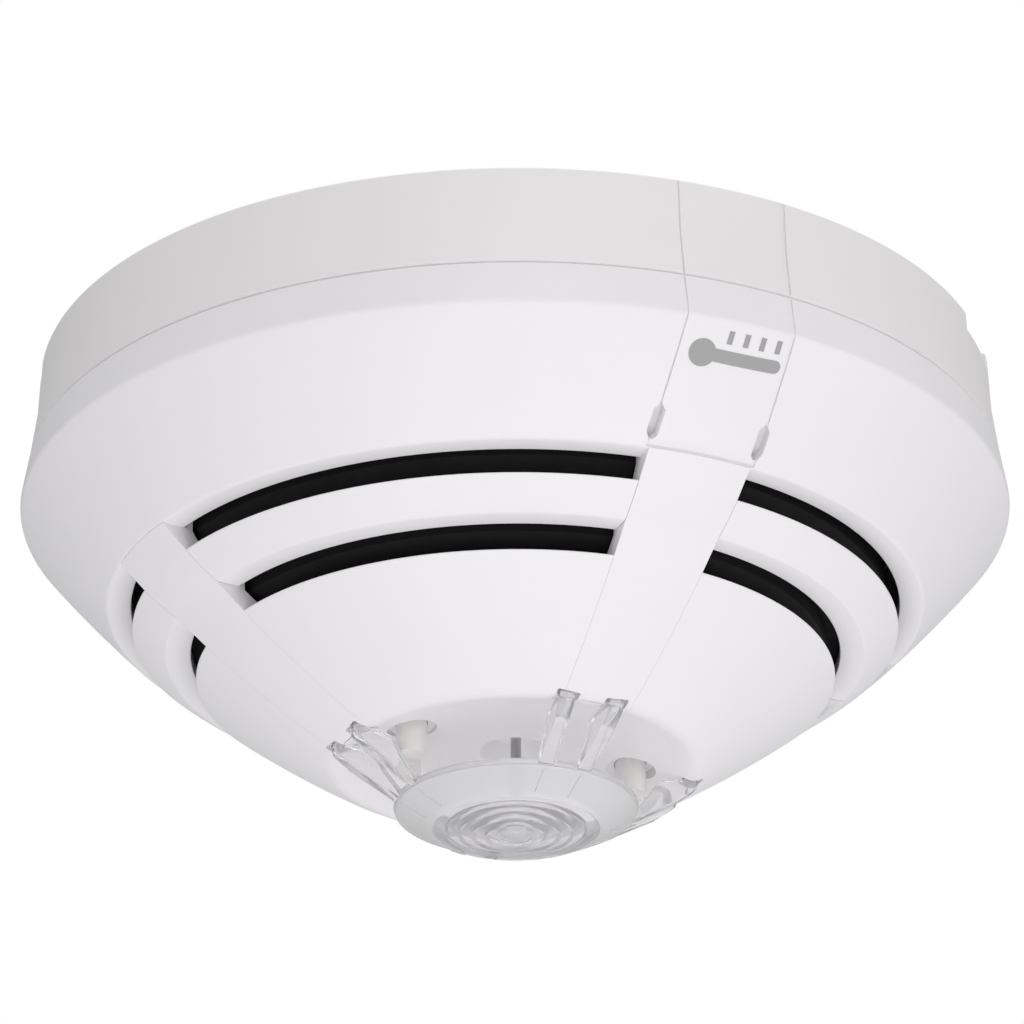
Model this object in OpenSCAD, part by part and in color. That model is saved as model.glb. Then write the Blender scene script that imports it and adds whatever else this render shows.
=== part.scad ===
// Point heat detector: a twist-lock detector head hanging in a ceiling base.
// Z = 0 is the ceiling plane and the detector hangs below it. The label rib faces -Y.

/* [Base] */
// Radius of the base at the ceiling
base_top_r = 56.5; // [55.5:0.5:57]
// Radius of the base at the seam with the head
base_seam_r = 57.6; // [57.2:0.2:58]
// Height of the base, from the ceiling to the seam
base_h = 12.45; // [12.2:0.05:12.6]
// Wall thickness of the base skirt
base_wall = 2; // [1.6:0.2:2.2]
// Thickness of the ceiling plate
plate_t = 2; // [1.6:0.2:2.4]
// Radius of the central cable opening
cable_r = 20; // [14:1:24]
// Distance between the two fixing slots
slot_spacing = 60; // [58:1:66]
// Length of a fixing slot, end to end
slot_len = 14; // [8:1:16]
// Width of a fixing slot
slot_w = 4.4; // [4:0.2:5]

/* [Head shell] */
// Largest radius of the head, at the crease
crease_r = 58.5; // [58:0.1:59]
// Depth of the crease below the ceiling
crease_z = 17.7; // [17.4:0.1:18]
// Radius at the lower edge of the outer cone
cone_r = 47.9; // [47.6:0.1:48.2]
// Depth of the first air slot's upper edge
vent1_z = 29.5; // [29.4:0.1:29.7]
// Radius of the first air slot's window
vent1_r = 45.1; // [45:0.1:45.3]
// Height of the air windows
vent_h = 2.65; // [2.5:0.05:2.8]
// Radius at the lower edge of the louvre ring
louvre_r = 40.9; // [40.7:0.1:41.1]
// Depth of the second air slot's upper edge
vent2_z = 35.3; // [35.2:0.1:35.4]
// Radius of the second air slot's window
vent2_r = 37.8; // [37.6:0.1:38]
// Radius of the nose at the lip of its bowl
lip_r = 21.9; // [21.7:0.1:22.1]
// Depth of the lip of the bowl
lip_z = 48.8; // [48.6:0.1:49]
// Wall thickness of the head's shell pieces
shell_t = 1.8; // [1.6:0.1:2]
// Width of the seams between shell pieces
seam_w = 0.15; // [0.1:0.05:0.2]

/* [Ribs and label] */
// Half width of a rib at its outer end
rib_half_outer = 6.3; // [6:0.1:6.6]
// Half width of a rib at the lip of the bowl
rib_half_inner = 4.2; // [4:0.1:4.4]
// Half width of the label plate
label_half = 6.55; // [6.4:0.05:6.7]
// Thickness of the label plate
label_t = 1.1; // [0.9:0.1:1.2]

/* [Sensor and light guide] */
// Radius of the lens disc
lens_r = 14.2; // [14:0.1:14.4]
// Depth of the lens disc's rim
lens_z = 54.1; // [54:0.1:54.3]
// Total height of the detector
total_h = 58; // [57.8:0.1:58.2]
// Radius of the heat sensor's metal sleeve
sleeve_r = 0.62; // [0.58:0.02:0.7]

/* [Twist lock] */
// Number of bayonet lugs
lug_count = 3; // [3:1:3]
// Angle that a bayonet lug spans
lug_angle = 16; // [14:1:16]
// Angle that a base ledge spans
ledge_angle = 18; // [16:1:18]

/* [Hidden] */
$fn = 120;
white = [0.92, 0.92, 0.93];
black = [0.05, 0.05, 0.05];
metal = [0.75, 0.75, 0.78];
brass = [0.8, 0.68, 0.4];
big = 200;
head_gap = 0.25;
seam_z = base_h + head_gap;
skirt_in_r = base_top_r - base_wall - 0.2;
label_gap = 0.2;
seam_r = base_seam_r + 0.05;

// Points from p to q that bulge outwards by s
function bow(p, q, s, n = 8) = let (d = (q - p) / norm(q - p), m = [-d[1], d[0]])
    [for (i = [0:n]) let (t = i / n) p + (q - p) * t + m * s * 4 * t * (1 - t)];
// Points that round the corner b of the outline a, b, c with radius r
function round_corner(a, b, c, r, n = 5) = let (
    u = (a - b) / norm(a - b), v = (c - b) / norm(c - b), half = acos(u * v) / 2,
    w = (u + v) / norm(u + v), o = b + w * r / sin(half), p = b + u * r / tan(half) - o,
    q = b + v * r / tan(half) - o, turn = atan2(p[0] * q[1] - p[1] * q[0], p * q))
    [for (i = [0:n]) let (k = turn * i / n)
        o + [p[0] * cos(k) - p[1] * sin(k), p[0] * sin(k) + p[1] * cos(k)]];
// Moves a list of points
function moved(points, by) = [for (p = points) p + by];

// Corners of the head's outline, as [radius, height]
A0 = [seam_r, -seam_z];
A = [crease_r, -crease_z];
A1 = [cone_r, -vent1_z];
B1 = [vent1_r, -vent1_z];
C1 = [vent1_r, -vent1_z - vent_h];
A2 = [louvre_r, -vent2_z];
B2 = [vent2_r + 0.2, -vent2_z];
C2 = [vent2_r - 0.3, -vent2_z - vent_h - 0.15];
L = [lip_r, -lip_z];
cone_bow = 0.2;
nose_bow = 0.28;
louvre_bow = 0.1;
cone_line = bow(A, A1, cone_bow);
louvre_line = bow(C1, A2, louvre_bow, 3);
nose_line = bow(C2, L, nose_bow);

// A ring whose section is a list of [radius, height] points
module ring(points) { rotate_extrude() polygon(points); }
// A box between two corners
module block(a, b) { translate(a) cube(b - a); }
// A cylinder between two heights
module rod(r, z0, z1) { translate([0, 0, min(z0, z1)]) cylinder(r = r, h = abs(z1 - z0)); }
// A tube between two heights
module tube(r, r_in, z0, z1) {
    difference() {
        rod(r, z0, z1);
        rod(r_in, min(z0, z1) - 1, max(z0, z1) + 1);
    }
}
// A wedge about the Z axis that is centred on -Y, for cutting rings into sectors
module sector(angle, z0, z1) {
    reach = big * tan(angle / 2);
    translate([0, 0, z0]) linear_extrude(z1 - z0) polygon([[0, 0], [-reach, -big], [reach, -big]]);
}
// Places a child at each quarter turn
module quarters() { for (k = [0:3]) rotate([0, 0, 90 * k]) children(); }

// ---- Base ----
bay_r = 50;
ledge_in_r = 47.2;
bay_wall = 1.8;
ledge_z = -8.5;
ledge_t = 1;
stop_angle = 3;
lug_z = -8.3;
lug_t = 1.5;
lug_r = 49.5;
collar_r = 46.5;
collar_in_r = 44.5;
collar_z = -4.5;
terminal_r = 34;
pad_t = 1.2;
clip_t = 0.8;
thread_r = 1.25;
pivot = [15, -48.9];
pivot_r = 1.5;
lever_top = -4.6;
lever_low = -8.4;
lever_y = [-49.9, -48.3];
cable_notch = [11.4, 2.5];
cable_azimuths = [48.7, -112.4];
relief = [23, 52, 0.6];
screw_pad_r = 9.5;
stiffener = [41.2, 42.5, 1.8];
opening_collar = [1.6, 2.5];
base_mid_z = -6.5;
overlap = 0.1;

module skirt_section() {
    mid = base_top_r + 0.3;
    polygon([[skirt_in_r, 0], [base_top_r - 0.4, 0], [base_top_r, -0.4], [mid, base_mid_z],
        [base_seam_r, -base_h + 0.3], [base_seam_r - 0.3, -base_h],
        [base_seam_r - base_wall, -base_h], [mid - base_wall, base_mid_z], [skirt_in_r, -plate_t]]);
}
module bayonet_ledge() {
    low = ledge_z - ledge_t;
    top = -plate_t + overlap;
    intersection() {
        union() {
            tube(bay_r + bay_wall, bay_r, low, top);
            tube(bay_r + overlap, ledge_in_r, low, ledge_z);
        }
        sector(ledge_angle, low, top);
    }
    // End stop for the lug
    intersection() {
        tube(bay_r + bay_wall, ledge_in_r, low, top);
        rotate([0, 0, (ledge_angle + stop_angle) / 2 - 0.5]) sector(stop_angle, low, top);
    }
}
module terminal_place(k) { rotate([0, 0, 45 + 90 * k]) translate([0, -terminal_r, 0]) children(); }
module fixing_place() { for (s = [-1, 1]) translate([s * slot_spacing / 2, 0, 0]) children(); }
module base_body() {
    color(white) difference() {
        union() {
            rotate_extrude() skirt_section();
            tube(skirt_in_r + overlap, cable_r, -plate_t, 0);
            // Collar of the cable opening
            tube(cable_r + opening_collar[0], cable_r, -plate_t - opening_collar[1], -plate_t + overlap);
            // Stiffening ring
            tube(stiffener[1], stiffener[0], -plate_t - stiffener[2], -plate_t + overlap);
            for (k = [0:lug_count - 1]) rotate([0, 0, 60 + 120 * k]) bayonet_ledge();
            for (k = [0:3]) terminal_place(k) block([-6, -5, -plate_t - pad_t], [6, 5, -plate_t + overlap]);
            // Bosses round the fixing slots
            fixing_place() translate([0, 0, -plate_t - 1]) linear_extrude(1 + overlap)
                slot_outline(slot_len + 3, slot_w + 3);
        }
        fixing_place() translate([0, 0, -10]) linear_extrude(20) slot_outline(slot_len, slot_w);
        for (k = [0:3]) terminal_place(k) rod(thread_r, -10, 10);
        ceiling_relief();
        // Seat of the index tab
        block([-label_half - label_gap, -60, -20], [label_half + label_gap, -skirt_in_r, 1]);
        // Cut-outs in the ceiling edge for a surface cable
        for (az = cable_azimuths) rotate([0, 0, az])
            block([-cable_notch[0] / 2, -60, -cable_notch[1]], [cable_notch[0] / 2, -46, 1]);
        translate([pivot[0], pivot[1], 0]) rod(pivot_r, -12, 8);
    }
}
// Shallow relief in the ceiling face between the rim and the cable opening
module ceiling_relief() {
    difference() {
        tube(relief[1], relief[0], -relief[2], 1);
        for (k = [0:7]) rotate([0, 0, 22.5 + 45 * k]) block([20, -1, -2], [56, 1, 2]);
        fixing_place() rod(screw_pad_r, -2, 2);
    }
}
module slot_outline(length, width) {
    for (s = [-1, 1]) translate([s * (length - width) / 2, 0]) circle(r = width / 2);
    square([length - width, width], center = true);
}
module index_tab() {
    color(white) intersection() {
        rotate_extrude() skirt_section();
        block([-label_half, -60, -base_h], [label_half, -skirt_in_r - 0.02, 0]);
    }
}
terminal_z = -plate_t - pad_t;
finger_t = 0.6;
tip_z = -8.7;
tip_top = tip_z + finger_t;
screw_hole_r = 1.6;
module terminal(k) {
    color(brass) terminal_place(k) {
        difference() {
            block([-5, -4, terminal_z - clip_t], [5, 4, terminal_z]);
            rod(screw_hole_r, terminal_z - 5, terminal_z + 5);
        }
        // Spring finger that reaches towards the head
        rotate([90, 0, 0]) linear_extrude(4, center = true)
            polygon([[4.5, terminal_z - 0.7], [14.6, tip_z], [18, tip_z], [18, tip_top],
                [14.9, tip_top], [4.9, terminal_z - 0.2], [4.5, terminal_z - 0.2]]);
    }
}
module terminal_clamps() {
    z = terminal_z - clip_t;
    color(metal) for (k = [0:3]) terminal_place(k) difference() {
        block([-3.8, -3.6, z - clip_t], [3.8, 3.6, z]);
        rod(screw_hole_r, z - 5, z + 5);
    }
}
module terminal_screws() {
    z = terminal_z - 2 * clip_t;
    color(metal) for (k = [0:3]) terminal_place(k) difference() {
        union() {
            rod(2.8, z - 1.7, z);
            rod(thread_r - 0.05, z - overlap, -1);
        }
        block([-3, -0.4, z - 2], [3, 0.4, z - 1]);
    }
}
module lever_pin() {
    color(metal) translate([pivot[0], pivot[1], 0]) {
        rod(pivot_r, -9.4, -0.8);
        rod(pivot_r + 0.7, -9.4, -8.6);
    }
}
module lock_lever() {
    color(black) difference() {
        union() {
            translate([pivot[0], pivot[1], 0]) rod(2.5, lever_low, lever_top);
            block([0, lever_y[0], lever_low], [pivot[0], lever_y[1], lever_top]);
            // Nose that sits in the notch of the head's collar
            block([-1.2, lever_y[0], lever_low], [1.2, -45.8, lever_top]);
            // Finger for the release tool
            block([-1, -52.2, lever_low + 1], [1, lever_y[0] + overlap, lever_top - 1]);
        }
        translate([pivot[0], pivot[1], 0]) rod(pivot_r + 0.06, lever_low - 1, lever_top + 1);
    }
}

// ---- Head: chassis, contacts and electronics ----
chassis_top = -9.8;
chassis_t = 2;
chassis_low = chassis_top - chassis_t;
chassis_r = 53.2;
flange = [51.5, 55.4, -15.4];
board_top = -21;
board_t = 1.6;
board_low = board_top - board_t;
board_r = 44;
boss_r = 33;
led_r = 21;
tail_z = board_top + 3;
module boss_place() { rotate([0, 0, 22]) quarters() translate([0, -boss_r, 0]) children(); }
module contact_place() { rotate([0, 0, 45]) quarters() translate([13, -terminal_r, 0]) children(); }
module chassis() {
    color(white) difference() {
        union() {
            rod(chassis_r, chassis_low, chassis_top);
            // Flange that the cover snaps on to
            tube(flange[1], flange[0], flange[2], -seam_z - 0.1);
            tube(chassis_r, flange[0], -13, chassis_low + overlap);
            tube(collar_r, collar_in_r, chassis_top - overlap, collar_z);
            for (k = [0:lug_count - 1]) rotate([0, 0, 60 + 120 * k]) intersection() {
                tube(lug_r, collar_r - 0.5, lug_z, lug_z + lug_t);
                sector(lug_angle, -20, 0);
            }
            boss_place() rod(3, board_top, chassis_low + overlap);
        }
        boss_place() rod(1.1, board_top - 1, board_top + 7);
        // Notch of the lock lever in the collar
        block([-20, -big, chassis_top], [20, -45.2, 0]);
        // Wire hole in the middle
        rod(6, -20, 0);
        contact_place() block([-1.6, -1.6, -20], [1.6, 1.6, 0]);
    }
}
module contact(k) {
    color(metal) rotate([0, 0, 45 + 90 * k]) translate([13, -terminal_r, 0]) {
        block([-4, -2.6, chassis_top], [7.6, 3, chassis_top + 0.6]);
        // Tail that runs down to the header on the board
        block([-0.4, -1.2, tail_z], [0.4, 1.2, chassis_top + overlap]);
    }
}
module dust_seal() {
    color(black) tube(collar_in_r - 0.2, collar_in_r - 2, chassis_top, chassis_top + 1.4);
}
module circuit_board() {
    color([0.05, 0.35, 0.2]) difference() {
        rod(board_r, board_low, board_top);
        boss_place() rod(1.6, -30, -10);
        rod(2, -30, -10);
        // Clearance for the ribs' roots
        quarters() block([-7, -50, -30], [7, -41.5, -10]);
    }
}
module board_screws() {
    color(metal) boss_place() difference() {
        union() {
            rod(2.6, board_low - 1.6, board_low);
            rod(1.05, board_low - overlap, board_top + 5);
        }
        block([-2, -0.35, board_low - 2], [2, 0.35, board_low - 1]);
        block([-0.35, -2, board_low - 2], [0.35, 2, board_low - 1]);
    }
}
module led(k) {
    color([0.9, 0.2, 0.15]) rotate([0, 0, 90 * k + guide_turn]) translate([0, -led_r, 0]) {
        block([-1.6, -1, board_low - 0.7], [1.6, 1, board_low]);
        rod(0.8, board_low - 1.3, board_low - 0.6);
    }
}
module microcontroller() {
    color(black) block([-18, 4, board_top], [-8, 14, board_top + 1.2]);
}
module capacitors() {
    color([0.1, 0.1, 0.12]) for (p = [[14, 8], [14, 17], [-20, -12]])
        translate([p[0], p[1], 0]) rod(2.6, board_top, board_top + 6);
}
module terminal_header() {
    color(black) contact_place() difference() {
        block([-2.4, -3, board_top], [2.4, 3, board_top + 6.5]);
        block([-0.5, -1.3, tail_z - 0.1], [0.5, 1.3, board_top + 8]);
    }
}

// ---- Head: shell ----
// Plan of a rib, widened by the given gap
module rib_plan(gap) {
    polygon([[-rib_half_inner - gap, -lip_r + 1], [-rib_half_outer - gap, -vent1_r - 2],
        [-rib_half_outer - gap, -cone_r - 2], [rib_half_outer + gap, -cone_r - 2],
        [rib_half_outer + gap, -vent1_r - 2], [rib_half_inner + gap, -lip_r + 1]]);
}
module rib_cutter(gap) { quarters() translate([0, 0, -60]) linear_extrude(34) rib_plan(gap); }
inner_cone = moved(bow(A1, A, -cone_bow), [-shell_t * 0.74, shell_t * 0.67]);
module outer_cover() {
    color(white) difference() {
        ring(concat([[seam_r - 0.3, -seam_z], [seam_r, -seam_z - 0.3]],
            round_corner(A0, A, cone_line[1], 0.8),
            [for (i = [1:7]) cone_line[i]], round_corner(cone_line[7], A1, B1, 0.6),
            [B1, [vent1_r, -vent1_z + shell_t]], inner_cone,
            [[crease_r - shell_t - 0.6, -16.5], [seam_r - 2, -seam_z - 0.1], [seam_r - 2, -seam_z]]));
        label_seat(label_half + label_gap, label_t + 0.1);
        pry_notches(0.9);
    }
}
// Space that the label plate fills, from the seam to the lower edge of the cone
module label_seat(half, depth) {
    intersection() {
        difference() {
            block([-half, -70, -vent1_z - 0.2], [half, -40, 0]);
            rotate_extrude() polygon(label_back(depth));
        }
        block([-half, -70, -40], [half, -40, 0]);
    }
}
function label_back(depth) = concat([[0, 10], [seam_r - depth, 10], [seam_r - depth, -seam_z],
    [crease_r - depth, -crease_z + depth * 0.4]],
    moved([for (i = [1:8]) cone_line[i]], [-depth * 0.74, depth * 0.67]), [[0, -40]]);
// Turns a flat shape on to the outer cone, with its +Y up the slope
cone_tilt = atan2(A[0] - A1[0], A[1] - A1[1]);
module on_cone(x, r, z) { translate([x, -r, z]) rotate([180 - cone_tilt, 0, 0]) children(); }
// Slanted notches across the plate's edges, for prising it off
pry_notch = [0.7, 4.4];
module pry_notches(depth) {
    w = pry_notch[0];
    half = pry_notch[1] / 2;
    for (s = [-1, 1]) on_cone(s * label_half, 49.8, -27.4) scale([s, 1, 1])
        translate([0, 0, -depth]) linear_extrude(depth + 2)
            polygon([[w, 0.9 - half], [w, half - 0.9], [0, half], [-w, half - 0.8], [-w, 0.6 - half],
                [-0.3, -half], [0.2, -half]]);
}
module label_plate() {
    color(white) difference() {
        intersection() {
            ring(concat([[seam_r - 0.3, -seam_z], [seam_r, -seam_z - 0.3]],
                round_corner(A0, A, cone_line[1], 0.8), [for (i = [1:8]) cone_line[i]],
                [[40, -vent1_z], [40, -seam_z]]));
            label_seat(label_half, label_t);
            block([-label_half, -70, -vent1_z + 0.3], [label_half, -40, -seam_z]);
        }
        pry_notches(2);
    }
}
// A generic thermometer pictogram, printed just above the surface of the plate
module label_symbol() {
    skin = 0.1;
    mid = cone_line[2];
    color([0.62, 0.62, 0.63]) intersection() {
        rotate_extrude() polygon(concat(cone_line, moved([for (i = [8:-1:0]) cone_line[i]],
            [skin * 0.74, -skin * 0.67])));
        on_cone(0, mid[0], mid[1]) linear_extrude(6, center = true) thermometer();
    }
}
// A lying thermometer with a scale of four ticks
module thermometer() {
    bulb = [-3.8, -0.3];
    stem = 0.75;
    reach = 9;
    translate(bulb) circle(r = 1.6);
    translate(bulb - [0, stem]) square([reach, 2 * stem]);
    translate(bulb + [reach, 0]) circle(r = stem);
    for (i = [0:3]) translate([-1.3 + 2 * i, 1.2]) square([0.65, 1.5]);
}
module louvre_ring() {
    color(white) difference() {
        ring(concat([for (i = [0:2]) louvre_line[i]], round_corner(louvre_line[2], A2, B2, 0.5),
            [B2, B2 + [0, 1.4], [A2[0] - 0.4, B2[1] + 1.4], [C1[0] - 2.4, C1[1]]]));
        rib_cutter(seam_w);
    }
}
bowl_z = -46.9;
bowl_t = 1.5;
// Conical recess round the sensor: radius of its mouth, radius of its floor, depth
recess = [4.2, 2.6, 2.2];
cup_t = 1;
cup_z = bowl_z + recess[2] + cup_t;
bowl_line = [[20.7, -48.45], [18.8, -47.9], [16.2, -47.3], [13.5, bowl_z], [recess[0], bowl_z],
    [recess[1], bowl_z + recess[2]]];
post = [14.1, -1.6];
post_r = 1.8;
pocket_r = 2.9;
pocket_z = bowl_z + 0.9;
leg_x = 3;
leg_w = 1.8;
leg_lean = 5.1;
guide_turn = -2;
module post_place() { for (s = [-1, 1]) translate([s * post[0], post[1], 0]) children(); }
module nose_cone() {
    hole_r = sleeve_r + 0.15;
    color(white) {
        difference() {
            ring(concat([for (i = [0:7]) nose_line[i]],
                round_corner(nose_line[7], L + [-0.2, -0.15], bowl_line[0], 0.9), bowl_line,
                [[hole_r, bowl_z + recess[2]], [hole_r, cup_z], [recess[1] + 1.2, cup_z]],
                [[recess[0] + 1.4, bowl_z + bowl_t], [15, bowl_z + bowl_t], [20.2, bowl_z + 0.7]],
                moved([for (i = [7:-1:1]) nose_line[i]], [-bowl_t * 0.62, bowl_t * 0.95])));
            rib_cutter(seam_w);
            leg_notches();
            post_place() rod(pocket_r, -50, -40);
        }
        // Floors of the pockets round the two posts
        post_place() tube(pocket_r + 0.7, post_r + 0.15, pocket_z, pocket_z + 0.8);
    }
}
// Shallow recesses with a hole for each leg of the light guide
module leg_notches() {
    hole = leg_w / 2 + 0.15;
    rotate([0, 0, guide_turn]) quarters() for (s = [-1, 1]) translate([s * leg_x, 0, 0]) {
        block([-hole - 0.35, -22.1, -52], [hole + 0.35, -19, -47.9]);
        block([-hole, -led_r - 0.85, -52], [hole, -led_r + 0.85, -30]);
    }
}
// Section of a rib: flush with the cones outside, with a spine inside the windows
rib_section = concat([A1], louvre_line, nose_line, [[21.4, -47.0], [24.4, -44.4], [30, -40.6],
    [35.6, -36.8], [37.3, -35.6], [37.3, -33.6], [39.5, -33.2], [43, -31.4], [44.1, -29.8],
    [44.1, -26.4], [44.9, -26.4], [44.9, -vent1_z]]);
module rib(k) {
    color(white) difference() {
        intersection() {
            ring(rib_section);
            rotate([0, 0, 90 * k]) translate([0, 0, -60]) linear_extrude(40) rib_plan(0);
        }
        leg_notches();
    }
}
module air_shield() {
    color(black) ring([[43.6, -23], [43.6, -29.4], [42.5, -30.9], [39.2, -32.6], [36.4, -33.0],
        [36.4, -35.4], [34.6, -36.6], [29.4, -40.0], [28.6, -39.0], [35.2, -34.4], [35.2, -31.9],
        [38.6, -31.4], [41.7, -29.9], [42.4, -29.0], [42.4, -23]]);
}

// ---- Head: sensor and light guide ----
bar_z = -24.6;
carrier = [3, 18.5, -31, -29.4];
module sensor_carrier() {
    color(white) difference() {
        union() {
            tube(carrier[1], carrier[0], carrier[2], carrier[3]);
            post_place() rod(post_r, -lens_z + 0.6, carrier[3] - 0.5);
            rotate([0, 0, 45]) quarters() translate([0, -15, 0]) rod(2.2, carrier[3] - 0.5, board_low);
        }
        // Room for the light guide's legs beside the posts
        block([-20, -10, -60], [20, -0.75, -50.4]);
    }
}
module light_guide() {
    rim = [lens_r, -lens_z - 0.3];
    dome = bow([9.7, -56.7], [0, -total_h], -0.25, 6);
    leg_reach = leg_x + leg_w / 2;
    color([0.85, 0.85, 0.92, 0.5]) {
        ring(concat([[lens_r, -lens_z + 0.6], rim], dome,
            [[0, -56.6], [8, -56], [9.4, -55.3], [lens_r - 1.4, -53.9], [lens_r - 1.2, -lens_z + 0.6]]));
        rotate([0, 0, guide_turn]) quarters() {
            for (s = [-1, 1]) guide_leg(s);
            // Cross bar that gathers the light of one LED
            block([-leg_reach, -led_r - 0.6, bar_z - 1.8], [leg_reach, -led_r + 0.6, bar_z]);
        }
    }
}
// Side view of a leg: upright inside the nose, then a slanted fin that narrows towards the lens
leg_side = [[-20.3, bar_z - 0.4], [-20.3, -48.4], [-19.3, -48.6], [-16.9, -49.1], [-15.7, -50.9],
    [-13.2, -53.8], [-14, -54.3], [-19.2, -51.3], [-21.4, -49.6], [-21.7, -48.9], [-21.7, bar_z - 0.4]];
module guide_leg(s) {
    translate([s * leg_x, -led_r, 0]) rotate([0, 0, s * leg_lean]) translate([0, led_r, 0])
        rotate([90, 0, 90]) linear_extrude(leg_w, center = true) polygon(leg_side);
}
sleeve_tip = -51.6;
sleeve_top = -42;
module sensor_sleeve() {
    color(metal) difference() {
        union() {
            rod(sleeve_r, sleeve_tip, sleeve_top);
            rod(sleeve_r + 0.9, cup_z, cup_z + 0.8);
        }
        rod(sleeve_r - 0.15, sleeve_tip + 0.3, sleeve_top + 1);
    }
}
module thermistor() {
    bead_r = 0.38;
    bead_z = sleeve_tip + 0.9;
    color([0.2, 0.2, 0.22]) {
        translate([0, 0, bead_z]) sphere(r = bead_r, $fn = 24);
        for (s = [-1, 1]) translate([s * 0.2, 0, 0]) rod(0.12, bead_z + 0.1, board_top + 0.6);
    }
}

base_body();
index_tab();
terminal(0);  // terminal_1
terminal(1);  // terminal_2
terminal(2);  // terminal_3
terminal(3);  // terminal_4
terminal_clamps();
terminal_screws();
lever_pin();
lock_lever();
chassis();
contact(0);  // contact_1
contact(1);  // contact_2
contact(2);  // contact_3
contact(3);  // contact_4
dust_seal();
outer_cover();
louvre_ring();
nose_cone();
rib(0);  // rib_1
rib(1);  // rib_2
rib(2);  // rib_3
rib(3);  // rib_4
label_plate();
label_symbol();
air_shield();
sensor_carrier();
light_guide();
sensor_sleeve();
thermistor();
circuit_board();
board_screws();
led(0);  // led_1
led(1);  // led_2
led(2);  // led_3
led(3);  // led_4
microcontroller();
capacitors();
terminal_header();
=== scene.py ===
import math

import bmesh
import bpy
from mathutils import Matrix, Vector


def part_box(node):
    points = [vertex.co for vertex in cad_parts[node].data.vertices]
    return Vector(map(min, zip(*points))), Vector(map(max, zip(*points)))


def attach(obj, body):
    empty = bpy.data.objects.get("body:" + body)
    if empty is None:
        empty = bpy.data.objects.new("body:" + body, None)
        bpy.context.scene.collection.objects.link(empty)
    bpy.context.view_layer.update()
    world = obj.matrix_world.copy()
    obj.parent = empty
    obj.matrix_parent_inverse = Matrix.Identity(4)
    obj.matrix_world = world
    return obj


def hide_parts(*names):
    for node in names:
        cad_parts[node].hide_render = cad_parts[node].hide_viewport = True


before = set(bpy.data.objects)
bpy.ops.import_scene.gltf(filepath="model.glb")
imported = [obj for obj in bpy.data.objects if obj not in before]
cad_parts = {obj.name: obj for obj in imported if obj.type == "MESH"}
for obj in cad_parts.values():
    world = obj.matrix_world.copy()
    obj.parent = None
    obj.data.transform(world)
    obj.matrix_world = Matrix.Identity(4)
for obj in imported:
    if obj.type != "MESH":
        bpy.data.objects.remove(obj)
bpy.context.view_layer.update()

# Sizes are in millimetres and angles in degrees. A mesh is turned into metres when it is made.
MM = 0.001

# Steps in a full turn of a large ring, and along a bowed line
ROUND = 288
FINE = 24

# A radius well outside the object, for cutters
FAR_R = 75


# ---- Sizes ----
def low(node):
    """The lowest point of a CAD node."""
    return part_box(node)[0].z / MM


def high(node):
    """The highest point of a CAD node."""
    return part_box(node)[1].z / MM


# Base: its lower edge, the skirt's radii and the plate behind the ceiling face
BASE_LOW = low("base_body")
BASE_TOP_R = 56.5
BASE_MID = (56.8, -6.5)
BASE_SEAM_R = 57.6
SKIRT_IN = 54.3
SKIRT_T = 2
PLATE_T = 2.0

# Ceiling side: cable opening with its collar, relief and stiffening ring (inner, outer, height)
CABLE_R = 20
COLLAR_R = 21.6
COLLAR_H = 2.5
RELIEF = (23, 52, 0.6)
STIFFENER = (41.2, 42.5, 1.8)

# Fixing slots (length, width), terminals, cable cut-outs in the rim and the lock lever's pivot
SLOT = (14, 4.4)
SLOT_X = 30
TERMINAL_R = 34
CABLE_CUTS = (48.7, -112.4)
PIVOT = (15, -48.9)

# Bayonet: wall, ledge and their heights
BAYONET_WALL = (50, 51.8)
BAYONET_IN = 47.2
BAYONET_TOP = -1.9
BAYONET_LOW = -9.5

# Cover: seam with the base, crease between band and cone, edge of the first air slot
SEAM_Z = high("outer_cover")
SEAM_R = 57.65
CREASE_R = 58.5
CREASE_Z = -17.7
CONE_R = 47.9
VENT1_Z = low("outer_cover")
VENT1_R = 45.1

# The direction outwards at right angles to the cone's face, as its parts away from the axis and down
CONE_OUT = (0.74, 0.67)

# Louvre ring and nose cone
LOUVRE_TOP = high("louvre_ring")
LOUVRE_R = 40.9
VENT2_Z = low("louvre_ring")
NOSE_TOP = -38.1
NOSE_R = 37.5

# Bowl: edge of the nose, rounded lip (radius, height, rounding), wall and centre recess (mouth, floor, depth)
LIP_R = 21.9
LIP_Z = -48.8
LIP = (21.1, -49.1, 2.8)
BOWL_Z = -46.9
BOWL = [(18.2, -48.0), (15.8, -47.35), (12.8, BOWL_Z)]
RECESS = (4.2, 2.6, 2.2)
CUP_Z = BOWL_Z + 3.2

# Label plate, the visible grooves beside it and the hairline seams
LABEL_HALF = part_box("label_plate")[1].x / MM
GROOVE = 0.22
GROOVE_DEPTH = 0.25
SEAM = 0.06

# Ribs: radii between which they widen, and half their width at either end
RIB_NEAR = LIP_R - 1
RIB_FAR = VENT1_R + 2
RIB_NARROW = 4.2
RIB_WIDE = 6.3

# Light guide: lens disc, domed middle, legs and the turn of the whole piece
LENS_R = 14.2
LENS_RIM_Z = -54.1
LENS_LOW = low("light_guide")
DOME_R = 9.7
DOME_Z = -56.65
LEG_X = 3.0
LEG_W = 1.8
LEG_LEAN = 5.1
LED_R = 21.0
GUIDE_TURN = -2

# Support posts and the sensor's sleeve
POST = (14.1, -1.6)
POST_R = 1.8
POST_TIP = LENS_RIM_Z + 0.62
SLEEVE_R = 0.62


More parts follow.
